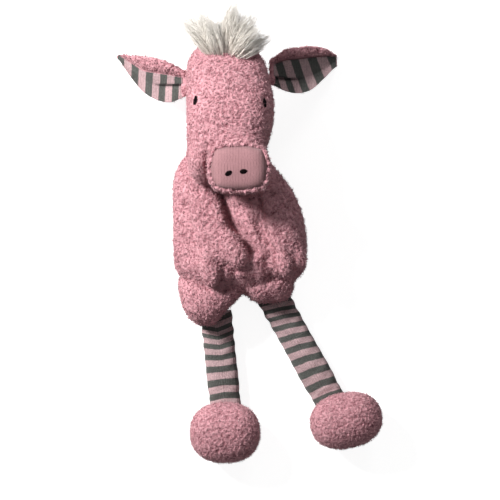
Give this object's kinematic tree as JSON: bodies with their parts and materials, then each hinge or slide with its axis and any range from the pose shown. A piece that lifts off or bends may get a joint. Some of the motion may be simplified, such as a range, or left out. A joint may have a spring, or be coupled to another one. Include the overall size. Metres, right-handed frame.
{
  "type": "plush pig",
  "caption": "Floppy plush pig lying on its back: curly fleece body, head, arms and feet, striped knit legs and ear linings, knit snout and a tuft of long hair.",
  "frame": {"origin": "middle of the flat patch on the toy's back that it lies on", "axes": "+Z out of the belly, +Y from the seat to the head, +X to the right of someone who looks down at the toy"},
  "size_m": [0.2532, 0.4347, 0.1047],
  "materials": {
    "pink_fleece": "matt",
    "striped_knit": "matt",
    "snout_knit": "matt",
    "white_hair": "satin",
    "black_thread": "satin",
    "stuffing": "matt",
    "pellets": "satin"
  },
  "bodies": {
    "torso": {"torso_cover": "pink_fleece", "torso_filling": "stuffing", "pellet_bag": "pellets"},
    "neck": {"neck_cover": "pink_fleece", "neck_filling": "stuffing"},
    "head": {"head_cover": "pink_fleece", "head_filling": "stuffing", "snout_panel": "snout_knit", "nostril_left": "black_thread", "nostril_right": "black_thread", "eye_left": "black_thread", "eye_right": "black_thread", "hair_tuft": "white_hair"},
    "ear_left": {"ear_left_back": "pink_fleece", "ear_left_lining": "striped_knit"},
    "arm_left": {"arm_left_cover": "pink_fleece", "arm_left_filling": "stuffing"},
    "hip_left": {"leg_left_root": "striped_knit"},
    "thigh_left": {"leg_left_upper": "striped_knit", "leg_left_upper_filling": "stuffing"},
    "shin_left": {"leg_left_lower": "striped_knit", "leg_left_lower_filling": "stuffing"},
    "foot_left": {"foot_left_collar": "striped_knit", "foot_left_cover": "pink_fleece", "foot_left_pellets": "pellets"},
    "ear_right": {"ear_right_back": "pink_fleece", "ear_right_lining": "striped_knit"},
    "arm_right": {"arm_right_cover": "pink_fleece", "arm_right_filling": "stuffing"},
    "hip_right": {"leg_right_root": "striped_knit"},
    "thigh_right": {"leg_right_upper": "striped_knit", "leg_right_upper_filling": "stuffing"},
    "shin_right": {"leg_right_lower": "striped_knit", "leg_right_lower_filling": "stuffing"},
    "foot_right": {"foot_right_collar": "striped_knit", "foot_right_cover": "pink_fleece", "foot_right_pellets": "pellets"}
  },
  "joints": [
    {"name": "neck_nod", "type": "hinge", "parent": "torso", "child": "neck", "pos_m": [-0.011, 0.082, 0.0205], "axis": [1, 0, 0], "range_deg": [-30, 10]},
    {"name": "head_sway", "type": "hinge", "parent": "neck", "child": "head", "pos_m": [-0.011, 0.082, 0.0205], "axis": [0, 0, 1], "range_deg": [-20, 20]},
    {"name": "ear_left_flop", "type": "hinge", "parent": "head", "child": "ear_left", "pos_m": [-0.0526, 0.147, 0.032], "axis": [0, 1, 0], "range_deg": [-15, 45]},
    {"name": "ear_right_flop", "type": "hinge", "parent": "head", "child": "ear_right", "pos_m": [0.0306, 0.158, 0.032], "axis": [0, -1, 0], "range_deg": [-15, 45]},
    {"name": "arm_left_lift", "type": "hinge", "parent": "torso", "child": "arm_left", "pos_m": [-0.038, 0.052, 0.045], "axis": [0.9563, 0.2924, 0], "range_deg": [-65, 0]},
    {"name": "arm_right_lift", "type": "hinge", "parent": "torso", "child": "arm_right", "pos_m": [0.028, 0.046, 0.045], "axis": [0.9703, 0.2419, 0], "range_deg": [-65, 0]},
    {"name": "hip_left_swing", "type": "hinge", "parent": "torso", "child": "hip_left", "pos_m": [-0.0218, -0.0795, 0.0082], "axis": [0, 0, 1], "range_deg": [-30, 20]},
    {"name": "hip_left_lift", "type": "hinge", "parent": "hip_left", "child": "thigh_left", "pos_m": [-0.02002, -0.09641, 0.0082], "axis": [-0.9945, -0.1045, 0], "range_deg": [-30, 45]},
    {"name": "knee_left_fold", "type": "hinge", "parent": "thigh_left", "child": "shin_left", "pos_m": [-0.01718, -0.12346, 0.0082], "axis": [0.9945, 0.1045, 0], "range_deg": [-45, 45]},
    {"name": "ankle_left_fold", "type": "hinge", "parent": "shin_left", "child": "foot_left", "pos_m": [-0.01434, -0.15051, 0.0082], "axis": [-0.9945, -0.1045, 0], "range_deg": [-40, 40]},
    {"name": "hip_right_swing", "type": "hinge", "parent": "torso", "child": "hip_right", "pos_m": [0.0341, -0.0594, 0.0082], "axis": [0, 0, 1], "range_deg": [-14, 25]},
    {"name": "hip_right_lift", "type": "hinge", "parent": "hip_right", "child": "thigh_right", "pos_m": [0.04234, -0.07427, 0.0082], "axis": [-0.8746, -0.4848, 0], "range_deg": [-30, 45]},
    {"name": "knee_right_fold", "type": "hinge", "parent": "thigh_right", "child": "shin_right", "pos_m": [0.06198, -0.10969, 0.0082], "axis": [0.8746, 0.4848, 0], "range_deg": [-45, 45]},
    {"name": "ankle_right_fold", "type": "hinge", "parent": "shin_right", "child": "foot_right", "pos_m": [0.08161, -0.14511, 0.0082], "axis": [-0.8746, -0.4848, 0], "range_deg": [-40, 40]}
  ]
}
